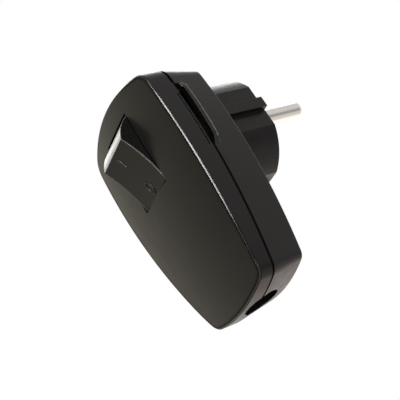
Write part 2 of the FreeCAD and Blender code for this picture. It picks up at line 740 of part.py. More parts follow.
def make_contact_bar(name, side):
    """Rocking contact bar: flat strip, trough for the follower, round knuckle and contact bead."""
    x = s.pole_x * side - s.bar_width / 2
    radius, height = cradle()

    def block(u_low, u_high, w_low, w_high):
        return Part.makeBox(s.bar_width, w_high - w_low, u_high - u_low, Vector(x, -w_high, u_low))

    def bar_rod(u, w, dia):
        return Part.makeCylinder(dia / 2, s.bar_width, Vector(x, -w, u), Vector(1, 0, 0))
    strip_top = s.bar_lift + s.strip
    bar = block(-s.bar_half_length, s.bar_half_length, s.bar_lift, strip_top)
    trough = bar_rod(0, height, 2 * (radius + s.strip)).common(
        block(-s.cradle_reach, s.cradle_reach, s.bar_lift, s.cradle_height))
    bar = bar.fuse(trough).cut(bar_rod(0, height, 2 * radius))
    bar = bar.fuse([bar_rod(0, 0, s.knuckle_dia).fuse(block(-s.strip / 2, s.strip / 2, 0, s.bar_lift)),
                    bar_rod(-s.bead_u, s.bead_w, s.bead_dia)]).removeSplitter()
    piece = solid(bar)
    piece.Placement = Placement(Vector(0, bar_axis_y, s.rocker_axis_z),
                                Rotation(Vector(1, 0, 0), -s.bar_tilt))
    return node(name, piece)


def make_pin(name, side):
    """Solid plug pin with a round tip and a thick tapped stem behind the face."""
    x = side * s.pin_spacing / 2
    stem, shoulder, shank = s.stem_dia / 2, s.shoulder_dia / 2, s.pin_dia / 2
    profile = [(0, floor_y), (stem, floor_y), (stem, -s.face_wall), (shoulder, -s.face_wall),
               (shoulder, 0), (shank, 0)]
    profile += round_end(shank, s.pin_tip_round, s.pin_length) + [(0, s.pin_length)]
    tapped = rod("Y", (str(x), FLOOR + " - 1", "0"), "pin_screw_dia", "pin_screw_length")
    return node(name, cut(solid(turned(x, profile)), tapped))


def screw(x, head_y, z, dia, length, head_dia, head_height):
    """Pan-head screw that points along +Y, with its head's top at the -Y end."""
    head = rod("Y", (x, head_y, z), head_dia, head_height)
    shank = rod("Y", (x, "%s + %s/2" % (head_y, head_height), z), dia, "%s/2 + %s" % (head_height, length))
    return fuse(head, shank)


def make_carrier():
    """Insulating switch carrier: plate over the plug body with a barrier between the poles."""
    right = [(s.carrier_side, s.carrier_cut_z), (s.carrier_side, s.carrier_corner_z),
             (s.carrier_corner_x, s.carrier_top)]
    corners = [Vector(x, carrier_top_y, z) for x, z in right]
    corners += [Vector(-x, carrier_top_y, z) for x, z in reversed(right)]
    plate = solid(Part.Face(Part.makePolygon(corners + corners[:1])).extrude(Vector(0, s.carrier_thick, 0)))
    barrier = box(("-barrier_thick/2", CARRIER_TOP + " - barrier_height", "rocker_axis_z - barrier_length/2"),
                  ("barrier_thick", "barrier_height + carrier_thick/2", "barrier_length"))
    rests = []
    lean = math.radians(s.bar_tilt)
    rest_top = bar_axis_y - s.bar_lift * math.cos(lean) + s.bead_u * math.sin(lean) + 2 * s.fit_gap
    for _, side in SIDES:
        rests.append(box(("%d*pole_x - bar_width/2" % side, str(rest_top),
                          "rocker_axis_z + bead_u - strip/2"),
                         ("bar_width", "%s - (%s)" % (CARRIER_TOP, rest_top), "strip")))
    lug_x = "(plug_flat - plug_wall - 2*fit_gap)"
    lugs = [box((low, FLOOR + " - carrier_thick/2", "-lug_width/2"),
                ("strip", "1.5*carrier_thick", "lug_width")) for low in (lug_x + " - strip", "-" + lug_x)]
    holes = [rod("Y", ("%d*pin_spacing/2" % side, CARRIER_TOP + " - 1", "0"), "pin_screw_dia + 2*fit_gap",
                 "carrier_thick + 2") for _, side in SIDES]
    return node("switch_carrier", cut(fuse(plate, barrier, *rests, *lugs), *holes))


def make_pole_terminal(name, side):
    """Fixed terminal under a contact bar: strip bolted to the pin and a saddle for the knuckle."""
    inner = "(pole_x - bar_width/2)"
    outer = "(pin_spacing/2 + head_dia/2)"
    low_x = inner if side > 0 else "-" + outer
    strip = box((low_x, CARRIER_TOP + " - strip", "rocker_axis_z - bar_width/2"),
                ("%s - %s" % (outer, inner), "strip", "bar_width"))
    saddle = box(("%d*pole_x - bar_width/2" % side, BAR_AXIS, "rocker_axis_z - saddle_width/2"),
                 ("bar_width", "saddle_height", "saddle_width"))
    groove = rod("X", ("%d*pole_x - bar_width" % side, BAR_AXIS, "rocker_axis_z"),
                 "knuckle_dia + 2*running_gap", "2*bar_width")
    hole = rod("Y", ("%d*pin_spacing/2" % side, CARRIER_TOP + " - 2*strip", "0"), "pin_screw_dia + 2*fit_gap",
               "2*strip + 1")
    return node(name, cut(fuse(strip, saddle), groove, hole))


def make_load_terminal(name, side):
    """Load side of a pole: fixed contact under the bead, strip and clamp block for the cord's wire."""
    inner = "(pole_x - bar_width/2)"
    low_x = inner if side > 0 else "-(pole_x + bar_width/2)"
    strip_length = "(rocker_axis_z - bead_u + bead_dia - block_z)"
    strip = box((low_x, CARRIER_TOP + " - strip", "block_z"), ("bar_width", "strip", strip_length))
    block_x = inner + " + bar_width/2" if side > 0 else "-(pole_x + block_width)"
    seat = FLOOR + " - 2*fit_gap"
    block = box((block_x, seat + " - block_height", "block_z - block_length"),
                ("block_width", "block_height", "block_length + strip"))
    centre = "%d*(pole_x + block_width/2)" % side
    wire = rod("Z", (centre, seat + " - wire_hole_height", "block_z - block_length - 1"), "wire_hole_dia",
               "block_length + strip + 2")
    tapped = rod("Y", (centre, seat + " - block_height - 1", "block_z - block_length/2"),
                 "terminal_screw_dia", "1 + block_height - wire_hole_height")
    return node(name, cut(fuse(strip, block), wire, tapped))


def make_earth_bracket():
    """Earth strip: sprung side contacts, a cross bar through the plug body and a tab to the earth screw."""
    legs = []
    for side in (-1, 1):
        inner = side * s.clip_seat
        outer = side * (s.clip_seat + s.strip)
        bow = side * (s.clip_seat + s.strip + s.clip_spring)
        bow_inner = side * (s.clip_seat + s.clip_spring)
        start, middle, end = -s.clip_start, -s.clip_cross / 2, -s.clip_cross - s.strip
        outside = Part.Arc(Vector(0, start, outer), Vector(0, middle, bow), Vector(0, end, outer)).toShape()
        inside = Part.Arc(Vector(0, end, inner), Vector(0, middle, bow_inner),
                          Vector(0, start, inner)).toShape()
        tip = Part.makeLine(Vector(0, start, inner), Vector(0, start, outer))
        root = Part.makeLine(Vector(0, end, outer), Vector(0, end, inner))
        profile = Part.Face(Part.Wire([outside, root, inside, tip]))
        profile.translate(Vector(-s.clip_width / 2, 0, 0))
        legs.append(solid(profile.extrude(Vector(s.clip_width, 0, 0))))
    cross = box(("-clip_width/2", "-clip_cross - strip", "-clip_seat - strip/2"),
                ("clip_width", "strip", "2*clip_seat + strip"))
    tab_top = CARRIER_TOP + " - strip"
    riser = box(("-earth_tab_width/2", tab_top, "carrier_cut_z - strip - fit_gap"),
                ("earth_tab_width", "-clip_cross - (%s)" % tab_top, "strip"))
    tab = box(("-earth_tab_width/2", tab_top, "earth_screw_z"),
              ("earth_tab_width", "strip", "carrier_cut_z - fit_gap - earth_screw_z"))
    pad = box(("-earth_pad_width/2", tab_top, "earth_screw_z - earth_pad_width/2"),
              ("earth_pad_width", "strip", "earth_pad_width"))
    hole = rod("Y", ("0", tab_top + " - 1", "earth_screw_z"), "terminal_screw_dia + 2*fit_gap", "strip + 2")
    return node("earth_bracket", cut(fuse(*legs, cross, riser, tab, pad), hole))


def make_earth_sleeve():
    """Sleeve that takes a socket's own earth pin."""
    tube = rod("Y", ("0", "-clip_cross", "earth_offset"), "sleeve_dia", "clip_cross - face_wall - fit_gap")
    bore = rod("Y", ("0", "-clip_cross - 1", "earth_offset"), "sleeve_bore", "clip_cross + 2")
    return node("earth_sleeve", cut(tube, bore))


def make_clamp():
    """Bridge that clamps the cord against the saddle in the base."""
    low = CORD_AXIS + " - clamp_lift - fit_gap - clamp_thick"
    bridge = box(("-clamp_screw_x - clamp_boss_width/2", low, "clamp_z - clamp_width/2"),
                 ("2*clamp_screw_x + clamp_boss_width", "clamp_thick", "clamp_width"))
    crown = box(("-clamp_arch_dia/2 - clamp_thick/2", CORD_AXIS + " - clamp_arch_dia/2 - clamp_thick",
                 "clamp_z - clamp_width/2"),
                ("clamp_arch_dia + clamp_thick", "clamp_arch_dia/2 + clamp_thick - clamp_lift - fit_gap",
                 "clamp_width"))
    arch = rod("Z", ("0", CORD_AXIS, "clamp_z - clamp_width"), "clamp_arch_dia", "2*clamp_width")
    holes = [rod("Y", ("%d*clamp_screw_x" % side, low + " - 1", "clamp_z"), "terminal_screw_dia + 2*fit_gap",
                 "clamp_thick + 2") for _, side in SIDES]
    return node("cord_clamp", cut(fuse(bridge, crown), arch, *holes))


def make_screws():
    """The four sets of screws, each set one node of separate solids."""
    pin_head = CARRIER_TOP + " - strip - head_height"
    node("pin_screws", group(*[screw("%d*pin_spacing/2" % side, pin_head, "0", "pin_screw_dia - 2*fit_gap",
                                     "pin_screw_length", "head_dia", "head_height") for _, side in SIDES]))
    load_top = FLOOR + " - 2*fit_gap - block_height - head_height"
    load = [rod("Y", ("%d*(pole_x + block_width/2)" % side, load_top, "block_z - block_length/2"),
                "terminal_screw_dia - 2*fit_gap", "head_height + load_screw_length") for _, side in SIDES]
    node("load_screws", group(*load))
    earth_head = CARRIER_TOP + " - strip - head_height"
    pilot_fit = "terminal_screw_dia - pilot_gap - fit_gap"
    node("earth_screw", screw("0", earth_head, "earth_screw_z", pilot_fit, "earth_screw_length", "head_dia",
                              "head_height"))
    clamp_head = CORD_AXIS + " - clamp_lift - fit_gap - clamp_thick - clamp_head_height"
    clamp = [screw("%d*clamp_screw_x" % side, clamp_head, "clamp_z", pilot_fit, "clamp_screw_length",
                   "clamp_boss_width", "clamp_head_height") for _, side in SIDES]
    node("clamp_screws", group(*clamp))
    case = []
    for _, side in SIDES:
        x = "%d*case_screw_x" % side
        shank = rod("Y", (x, CASE_SEAT + " - case_screw_length", "case_screw_z"),
                    "case_screw_dia - pilot_gap - fit_gap", "case_screw_length + case_head_height/2")
        head = rod("Y", (x, CASE_SEAT, "case_screw_z"), "case_head_dia", "case_head_height")
        slot = box((x + " - driver_slot/2", CASE_SEAT + " + case_head_height - driver_slot",
                    "case_screw_z - case_head_dia"), ("driver_slot", "2*driver_slot", "2*case_head_dia"))
        case.append(cut(fuse(shank, head), slot))
    node("case_screws", group(*case))


def build():
    make_rear_housing()
    make_front_cover()
    make_rocker()
    make_carrier()
    for side_name, side in SIDES:
        make_pin("pin_" + side_name, side)
        make_follower("follower_" + side_name, side)
        make_spring("spring_" + side_name, side)
        make_contact_bar("contact_bar_" + side_name, side)
        make_pole_terminal("pole_terminal_" + side_name, side)
        make_load_terminal("load_terminal_" + side_name, side)
    make_earth_bracket()
    make_earth_sleeve()
    make_clamp()
    make_screws()


def export():
    """Check every object, then write one STEP file for each node."""
    doc.recompute()
    for obj in doc.Objects:
        if "Invalid" in obj.State or "Error" in obj.State:
            raise RuntimeError("failed object: " + obj.Name + " " + obj.Label)
    for name, obj in nodes.items():
        shape = obj.Shape
        if shape.isNull() or not shape.isValid():
            raise RuntimeError("bad shape: " + name)
    os.makedirs("parts", exist_ok=True)
    for name, obj in nodes.items():
        obj.Shape.exportStep("parts/%s.step" % name)
        print("%-22s solids %d  volume %9.2f" % (name, len(obj.Shape.Solids), obj.Shape.Volume))


build()
export()
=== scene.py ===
"""Looks for the angled mains plug with a rocker switch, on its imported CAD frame."""
import math

import bpy
from mathutils import Matrix, Vector


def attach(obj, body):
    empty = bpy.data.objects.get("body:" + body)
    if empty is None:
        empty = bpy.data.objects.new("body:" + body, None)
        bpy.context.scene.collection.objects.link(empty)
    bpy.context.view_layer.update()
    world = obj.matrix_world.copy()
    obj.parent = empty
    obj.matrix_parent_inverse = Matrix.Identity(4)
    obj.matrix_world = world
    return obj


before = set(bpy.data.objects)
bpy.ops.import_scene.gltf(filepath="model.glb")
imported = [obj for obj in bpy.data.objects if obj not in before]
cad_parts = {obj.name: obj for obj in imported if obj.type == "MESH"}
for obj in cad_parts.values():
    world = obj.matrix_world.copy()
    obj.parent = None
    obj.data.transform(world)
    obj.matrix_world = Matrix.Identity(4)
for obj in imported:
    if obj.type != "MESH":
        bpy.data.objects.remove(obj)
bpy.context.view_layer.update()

MM = 0.001
WHITE = (1.0, 1.0, 1.0)

# Camera, fitted to the photograph: its turn (axis times angle), its shift, and its focal length
TURN = Vector((1.277, 0.232, -1.292))
SHIFT = Vector((13.197, -19.4, 293.343)) * MM
FOCAL_PIXELS = 917.5
IMAGE_PIXELS = 400
SENSOR_MM = 36.0
CLIP_START, CLIP_END = 0.01, 20.0

# Rocker: its axis and tilt in the part's frame, then millimetres in its own, which has across, along towards the
# I end, and height over the axis
ROCKER_AXIS = Vector((0.0, -32.4, 0.96)) * MM
ROCKER_TILT = math.radians(20.75)
DISH_EDGE = 10.92
DISH_DEPTH = 0.78
DISH_REACH = 8.763
DISH_RADIUS = (DISH_REACH ** 2 + DISH_DEPTH ** 2) / (2 * DISH_DEPTH)
FACE_HALF = 8.33
FACE_REACH = 8.1
FACE_DEPTH = 0.35
FACE_ROWS = 32
FACE_SHARP = math.radians(30)

# Marks on the rocker: low ribs along a line and around an oval, sunk into the face by a share of their radius
TUBE_SIDES = 8
TUBE_SINK = 0.1
BAR_START, BAR_LENGTH, BAR_STEPS, BAR_RADIUS = 7.1, 3.5, 12, 0.25
OVAL_CENTRE, OVAL_HALVES, OVAL_STEPS, OVAL_RADIUS = (0.2, -5.8), (1.05, 2.0), 40, 0.33

# Noise on object coordinates: scale and detail
CLOUD = (90.0, 4.0)
FINE = (5200.0, 2.0)
SPARK = (2300.0, 2.0)
HANDLING = (420.0, 6.0)
HANDLING_STRETCH = (1.0, 1.0, 0.25)
FLOW = (60.0, 2.0)
STREAK = (2600.0, 4.0)
STREAK_STRETCH = 0.04
STAIN = (260.0, 3.0)
NOISE_LOW, NOISE_HIGH = 0.3, 0.7

# What the noises add to the roughness, at their low and high ends
HANDLING_ROUGH = (-0.04, 0.05)
FINE_ROUGH = (-0.02, 0.03)
STREAK_ROUGH = (-0.06, 0.08)

# Bumps: depth in metres, and strength, which for the two grains goes with the plastic's own
FLOW_DEPTH, FLOW_STRENGTH = 0.0003, 0.25
SPARK_DEPTH, SPARK_SHARE = 0.00002, 0.5
FINE_DEPTH = 0.000012
STREAK_DEPTH, STREAK_STRENGTH = 0.000008, 0.3

# Edges: samples of the bevel shader, the dot product of true and soft normal on an edge and on a face, and the
# radius in metres on metal
BEVEL_SAMPLES = 8
EDGE_TO_FACE = (0.90, 0.995)
METAL_EDGE = 0.00012

# Painted edge highlights: how evenly they spread along an edge, and how much smoother those edges are
HIGHLIGHT_SPREAD = (0.7, 1.0)
HIGHLIGHT_GLOSS = 0.14

# Limits are given by place, in millimetres, where X is the distance from the middle plane, or by the Y of a normal.
# The blur is half the width of their soft border
PLACE_BLUR = 0.1
LEAN_BLUR = 0.04

# Casing: painted highlights on the edges of the rear and of the grip slots' ends, with their paler colours
CASE_EDGE_HIGHLIGHTS = (((0.28, 0.28, 0.27), {"X": (15.0, 27.0), "Y": (-18.9, -17.0)}),
               ((0.20, 0.20, 0.19), {"X": (21.0, 26.0), "Y": (-28.2, -24.4), "Z": (8.6, 12.5)}),
               ((0.20, 0.20, 0.19), {"X": (21.0, 26.0), "Y": (-27.2, -24.4), "Z": (-15.5, -9.5)}))

# Casing: front rim, whose bevel is made smoother and mirrors more for a brighter highlight line, with dark lines
# painted before and behind it by a lower specular level
RIM = {"Y": (-39.5, -34.4)}
RIM_HIGHLIGHT_LEAN = (-0.80, -0.635)
RIM_GLOSS, RIM_SPECULAR = 0.20, 0.5
RIM_BEFORE_RADIUS = 0.0018
RIM_BEFORE_EDGE = (0.985, 0.9995)
RIM_BEFORE_LEAN = (-1.1, -0.85)
RIM_BEHIND_LEAN = (-0.585, -0.28)

# Casing: painted shade, by a lower specular level, in the hollow inside, the grip slots' floors, the grooves beside
# them and the parting line, and the share of their specular level that they lose
CASE_SHADED_PLACES = ({"X": (-1.0, 20.2), "Y": (-36.0, -18.2), "Z": (-24.0, 12.0)},
               {"X": (-1.0, 22.9), "Y": (-30.3, -27.2), "Z": (-16.0, 11.0)},
               {"X": (-1.0, 23.5), "Y": (-32.5, -31.1), "Z": (-13.0, 6.5)},
               {"X": (-1.0, 27.0), "Y": (-30.88, -30.0)})
SHADE_SHARE = 0.9

# Casing: painted highlight, a paler colour, on the lip of the grip slots, and the ends of the rocker's opening,
# which stay sharp
SLOT_LIP = {"X": (21.0, 26.0), "Y": (-27.2, -24.6), "Z": (-13.5, 10.5)}
LIP_LEAN = (-0.9, -0.3)
LIP_HIGHLIGHT_COLOUR = (0.070, 0.069, 0.066)
OPENING_ENDS = {"X": (-1.0, 8.1), "Y": (-45.0, -32.0), "Z": (-16.0, 12.0)}

# Rocker: painted highlight on its side edges, with its paler colour, and the face between them, which stays sharp
ROCKER_EDGE_HIGHLIGHTS = (((0.16, 0.16, 0.155), {"X": (8.1, 9.0)}),)
ROCKER_FACE = {"X": (-1.0, 7.6)}

# Room around the plug: colours to the left and right, and patches with a colour of their own. Each place is a
# direction, with the dot product of the view and that direction at its border and within it
ROOM_LEFT = (0.79, 0.74, 0.61)
ROOM_RIGHT = (0.63, 0.60, 0.60)
ROOM_SIDES = ((1.0, 0.25, 0.0), -0.8, 0.5)
ROOM_PATCHES = (((0.50, 0.465, 0.38), ((0.0, -0.97, 0.2), 0.66, 0.88)),
                ((0.29, 0.27, 0.27), ((0.66, 0.62, -0.42), 0.92, 0.99)),
                ((0.53, 0.52, 0.46), ((0.3, 0.9, 0.3), 0.93, 0.98)))
ROOM_STRENGTH = 1.04
PAPER = ((-0.45, 0.80, 0.15), 0.62, 0.75)

# Lamps: direction from the casing, width and height in metres, radiance and colour
LAMPS = {
    "key_strip": ((0.77, -0.605, 0.18), 0.09, 0.96, 27.0, WHITE),
    "top_left": ((-0.70, 0.14, 0.70), 0.55, 0.36, 3.0, (1.0, 0.99, 0.97)),
    "back_top": ((-0.38, 0.62, 0.68), 0.30, 0.26, 3.0, WHITE),
    "warm_low": ((-0.45, 0.70, -0.45), 0.70, 0.50, 0.4, (1.0, 0.55, 0.35)),
}
LAMP_DISTANCE = 1.0
LAMP_TARGET = Vector((0.0, -0.030, -0.010))


def both(stem):
    return stem + "_left", stem + "_right"


def opaque(colour):
    return (*colour, 1.0)


def link_object(name, data):
    piece = bpy.data.objects.new(name, data)
    bpy.context.scene.collection.objects.link(piece)
    return piece


class Graph:
    """Shader nodes of a material or of the world. Each input takes a value or another node's socket."""

    def __init__(self, tree):
        self.nodes = tree.nodes
        self.links = tree.links

    def feed(self, socket, value):
        if isinstance(value, bpy.types.NodeSocket):
            self.links.new(value, socket)
        else:
            socket.default_value = value

    def add(self, kind, inputs=None):
        node = self.nodes.new(kind)
        for name, value in (inputs or {}).items():
            self.feed(node.inputs[name], value)
        return node

    def maths(self, operation, first, second):
        node = self.add("ShaderNodeMath", {0: first, 1: second})
        node.operation = operation
        return node.outputs["Value"]

    def dot(self, first, second):
        node = self.add("ShaderNodeVectorMath", {0: first, 1: second})
        node.operation = "DOT_PRODUCT"
        return node.outputs["Value"]

    def mix(self, kind, factor, first, second):
        """Blend of two colours or two vectors, by the node's data type."""
        node = self.nodes.new("ShaderNodeMix")
        node.data_type = kind
        for name, value in (("Factor", factor), ("A", first), ("B", second)):
            self.feed(node.inputs[name], value)
        return node.outputs["Result"]

    def parts(self, vector):
        """X, Y and Z of a vector, by name."""
        return self.add("ShaderNodeSeparateXYZ", {"Vector": vector}).outputs

    def object_place(self):
        return self.add("ShaderNodeTexCoord").outputs["Object"]

    def noise(self, vector, scale, detail, stretch=None):
        """Fractal noise, drawn out along an axis if asked."""
        if stretch:
            vector = self.add("ShaderNodeMapping", {"Vector": vector, "Scale": stretch}).outputs["Vector"]
        node = self.add("ShaderNodeTexNoise", {"Vector": vector, "Scale": scale, "Detail": detail})
        return node.outputs["Fac"]

    def spread(self, value, low, high, start=NOISE_LOW, end=NOISE_HIGH):
        """Map a value from its own range, which is a noise's if none is given, to another."""
        node = self.add("ShaderNodeMapRange", {"Value": value, "From Min": start, "From Max": end,
                                               "To Min": low, "To Max": high})
        return node.outputs["Result"]

    def band(self, value, low, high, blur):
        """1 where a value lies between two limits."""
        rise = self.spread(value, 0.0, 1.0, low - blur, low + blur)
        return self.maths("MULTIPLY", rise, self.spread(value, 1.0, 0.0, high - blur, high + blur))

    def within(self, vector, limits):
        """1 inside limits by place."""
        parts = self.parts(vector)
        factor = 1.0
        for axis, (low, high) in limits.items():
            value = parts[axis]
            if axis == "X":
                value = self.maths("ABSOLUTE", value, 0.0)
            inside = self.band(value, low * MM, high * MM, PLACE_BLUR * MM)
            factor = self.maths("MULTIPLY", inside, factor)
        return factor

    def lean(self, normal, low, high):
        """1 where a normal's Y lies between two limits."""
        return self.band(self.parts(normal)["Y"], low, high, LEAN_BLUR)

    def true_normal(self):
        return self.add("ShaderNodeNewGeometry").outputs["Normal"]

    def soft_normal(self, radius):
        """Normal that rounds the edges in the shading."""
        node = self.add("ShaderNodeBevel", {"Radius": radius})
        node.samples = BEVEL_SAMPLES
        return node.outputs["Normal"]

    def edges(self, soft, low, high):
        """1 on the edges that a soft normal rounds, 0 on the faces."""
        return self.spread(self.dot(self.true_normal(), soft), 1.0, 0.0, low, high)

    def bumps(self, normal, *heights):
        """Chain of bumps on a normal, each a height, a strength and a depth in metres."""
        for height, strength, depth in heights:
            bump = self.add("ShaderNodeBump", {"Height": height, "Strength": strength, "Distance": depth,
                                               "Normal": normal})
            normal = bump.outputs["Normal"]
        return normal


def make_camera():
    data = bpy.data.cameras.new("camera")
    data.sensor_width = SENSOR_MM
    data.lens = FOCAL_PIXELS / IMAGE_PIXELS * SENSOR_MM
    data.clip_start = CLIP_START
    data.clip_end = CLIP_END
    camera = link_object("camera", data)
    back = Matrix.Rotation(TURN.length, 3, TURN.normalized()).transposed()
    place = (back @ Matrix.Diagonal((1.0, -1.0, -1.0))).to_4x4()
    place.translation = -(back @ SHIFT)
    camera.matrix_world = place
    bpy.context.scene.camera = camera


def make_world():
    """White paper behind the plug, for the camera and for what metal and gloss mirror; a plain grey room,
    warmer on the left, for the rest."""
    world = bpy.data.worlds.new("studio")
    bpy.context.scene.world = world
    world.use_nodes = True
    graph = Graph(world.node_tree)
    sky = graph.add("ShaderNodeTexCoord").outputs["Generated"]

    def facing(direction, start, end):
        """0 to 1 as the world is seen towards a direction."""
        return graph.spread(graph.dot(sky, Vector(direction).normalized()), 0.0, 1.0, start, end)

    walls = graph.mix("RGBA", facing(*ROOM_SIDES), opaque(ROOM_LEFT), opaque(ROOM_RIGHT))
    for colour, patch in ROOM_PATCHES:
        walls = graph.mix("RGBA", facing(*patch), walls, opaque(colour))
    room = graph.nodes["Background"]
    graph.feed(room.inputs["Color"], walls)
    graph.feed(room.inputs["Strength"], ROOM_STRENGTH)
    paper = graph.add("ShaderNodeBackground", {"Color": opaque(WHITE)})
    path = graph.add("ShaderNodeLightPath").outputs
    mirrored = graph.maths("MAXIMUM", path["Is Glossy Ray"], path["Is Transmission Ray"])
    behind = graph.maths("MULTIPLY", mirrored, facing(*PAPER))
    shown = graph.maths("MAXIMUM", path["Is Camera Ray"], behind)
    blend = graph.add("ShaderNodeMixShader", {"Fac": shown, 1: room.outputs["Background"],
                                              2: paper.outputs["Background"]})
    graph.feed(graph.nodes["World Output"].inputs["Surface"], blend.outputs["Shader"])


def make_lamps():
    """Area lamps that face the casing; the brightness of each is a radiance."""
    for name, (direction, width, height, radiance, colour) in LAMPS.items():
        data = bpy.data.lights.new(name, "AREA")
        data.shape = "RECTANGLE"
        data.size = width
        data.size_y = height
        data.color = colour
        data.energy = radiance * math.pi * width * height
        lamp = link_object(name, data)
        out = Vector(direction).normalized()
        lamp.location = LAMP_TARGET + out * LAMP_DISTANCE
        lamp.rotation_euler = out.to_track_quat("Z", "Y").to_euler()


def new_material(name):
    material = bpy.data.materials.new(name)
    material.use_nodes = True
    graph = Graph(material.node_tree)
    return material, graph, graph.nodes["Principled BSDF"].inputs


def moulded(name, dark, light, rough, edge, grain=0.35, specular=0.5, painted_highlights=(), finish=None, plain=None):
    """Moulded plastic: cloudy tone, uneven gloss, spark grain, faint waviness and soft edges.

    Edges carry a painted highlight, paler and shinier, in the places given, and stay sharp inside the plain limits.
    A finish function may change tone, roughness and specular level by place.
    """
    material, graph, shader = new_material(name)
    place = graph.object_place()
    cloud = graph.noise(place, *CLOUD)
    fine = graph.noise(place, *FINE)
    spark = graph.noise(place, *SPARK)
    handling = graph.noise(place, *HANDLING, HANDLING_STRETCH)
    flow = graph.noise(place, *FLOW)
    soft, wide = graph.soft_normal(edge), graph.soft_normal(2.0 * edge)
    if plain:
        soft = graph.mix("VECTOR", graph.within(place, plain), soft, graph.true_normal())
    tone = graph.mix("RGBA", cloud, opaque(dark), opaque(light))
    gloss = graph.maths("ADD", graph.spread(handling, *(rough + more for more in HANDLING_ROUGH)),
                        graph.spread(fine, *FINE_ROUGH))
    for colour, limits in painted_highlights:
        # Painted highlight on the edges in these places: a paler colour and a lower roughness
        edge_highlight = graph.maths("MULTIPLY", graph.edges(wide, *EDGE_TO_FACE), graph.spread(handling, *HIGHLIGHT_SPREAD))
        edge_highlight = graph.maths("MULTIPLY", edge_highlight, graph.within(place, limits))
        tone = graph.mix("RGBA", edge_highlight, tone, opaque(colour))
        gloss = graph.maths("SUBTRACT", gloss, graph.maths("MULTIPLY", edge_highlight, HIGHLIGHT_GLOSS))
    if finish:
        tone, gloss, specular = finish(graph, place, wide, tone, gloss, specular)
    normal = graph.bumps(soft, (flow, FLOW_STRENGTH, FLOW_DEPTH), (spark, SPARK_SHARE * grain, SPARK_DEPTH),
                         (fine, grain, FINE_DEPTH))
    graph.feed(shader["Base Color"], tone)
    graph.feed(shader["Roughness"], gloss)
    graph.feed(shader["Specular IOR Level"], specular)
    graph.feed(shader["Normal"], normal)
    return material


def case_finish(graph, place, wide, tone, gloss, specular):
    """Brighter highlight line on the front rim's smoother bevel between two painted dark lines, painted highlight on
    the lip of the grip slots, painted shade inside by a lower specular level.
    """
    true = graph.true_normal()
    rim = graph.within(place, RIM)
    # A smoother band on the rim's bevel, with a raised specular level, for a brighter highlight line
    rim_highlight = graph.maths("MULTIPLY", rim, graph.lean(wide, *RIM_HIGHLIGHT_LEAN))
    gloss = graph.maths("SUBTRACT", gloss, graph.maths("MULTIPLY", rim_highlight, RIM_GLOSS))
    # Painted dark lines before and behind the rim's highlight, by a lower specular level
    before = graph.maths("MULTIPLY", graph.edges(graph.soft_normal(RIM_BEFORE_RADIUS), *RIM_BEFORE_EDGE),
                         graph.lean(true, *RIM_BEFORE_LEAN))
    behind = graph.lean(wide, *RIM_BEHIND_LEAN)
    painted_shade = graph.maths("MULTIPLY", graph.maths("MAXIMUM", before, behind), rim)
    # Painted shade in the hollows, grooves and parting line, which lose most of their specular level
    for limits in CASE_SHADED_PLACES:
        painted_shade = graph.maths("MAXIMUM", painted_shade, graph.within(place, limits))
    shine = graph.maths("ADD", specular, graph.maths("MULTIPLY", rim_highlight, RIM_SPECULAR))
    shine = graph.maths("SUBTRACT", shine, graph.maths("MULTIPLY", painted_shade, SHADE_SHARE * specular))
    # Painted highlight on the grip slots' lip, by a paler colour
    lip_highlight = graph.maths("MULTIPLY", graph.within(place, SLOT_LIP), graph.lean(true, *LIP_LEAN))
    return graph.mix("RGBA", lip_highlight, tone, opaque(LIP_HIGHLIGHT_COLOUR)), gloss, shine


def metal(name, dark, light, rough, along):
    """Drawn or stamped metal: tone and gloss streaked along one axis."""
    material, graph, shader = new_material(name)
    place = graph.object_place()
    stretch = tuple(STREAK_STRETCH if axis == along else 1.0 for axis in "XYZ")
    streak = graph.noise(place, *STREAK, stretch)
    stain = graph.noise(place, *STAIN)
    graph.feed(shader["Base Color"], graph.mix("RGBA", stain, opaque(dark), opaque(light)))
    graph.feed(shader["Roughness"], graph.spread(streak, *(rough + more for more in STREAK_ROUGH)))
    graph.feed(shader["Normal"], graph.bumps(graph.soft_normal(METAL_EDGE), (streak, STREAK_STRENGTH, STREAK_DEPTH)))
    graph.feed(shader["Metallic"], 1.0)
    return material


def dress(material, *names):
    """Give whole CAD nodes one material."""
    for name in names:
        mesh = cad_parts[name].data
        mesh.materials.clear()
        mesh.materials.append(material)


# Plastics: dark and light tone, roughness, radius of the soft edges in metres, and what else sets them apart
PLASTICS = {
    "case_plastic": {"dark": (0.0035, 0.0033, 0.0030), "light": (0.0055, 0.0052, 0.0048), "rough": 0.32,
                     "edge": 0.00025, "grain": 0.5, "specular": 0.33, "painted_highlights": CASE_EDGE_HIGHLIGHTS,
                     "finish": case_finish, "plain": OPENING_ENDS},
    "rocker_plastic": {"dark": (0.0030, 0.0029, 0.0027), "light": (0.0045, 0.0043, 0.0040), "rough": 0.24,
                       "edge": 0.00022, "grain": 0.2, "specular": 0.28, "painted_highlights": ROCKER_EDGE_HIGHLIGHTS,
                       "plain": ROCKER_FACE},
    "mark_on_plastic": {"dark": (0.0015, 0.0014, 0.0013), "light": (0.0025, 0.0024, 0.0022), "rough": 0.12,
                        "edge": 0.00008, "grain": 0.02, "specular": 0.9},
    "mark_off_plastic": {"dark": (0.0015, 0.0014, 0.0013), "light": (0.0025, 0.0024, 0.0022), "rough": 0.12,
                         "edge": 0.00008, "grain": 0.02, "specular": 0.45},
    "carrier_plastic": {"dark": (0.0040, 0.0039, 0.0037), "light": (0.0060, 0.0058, 0.0055), "rough": 0.5,
                        "edge": 0.0002},
    "clamp_plastic": {"dark": (0.030, 0.029, 0.027), "light": (0.042, 0.040, 0.037), "rough": 0.5,
                      "edge": 0.0002},
}

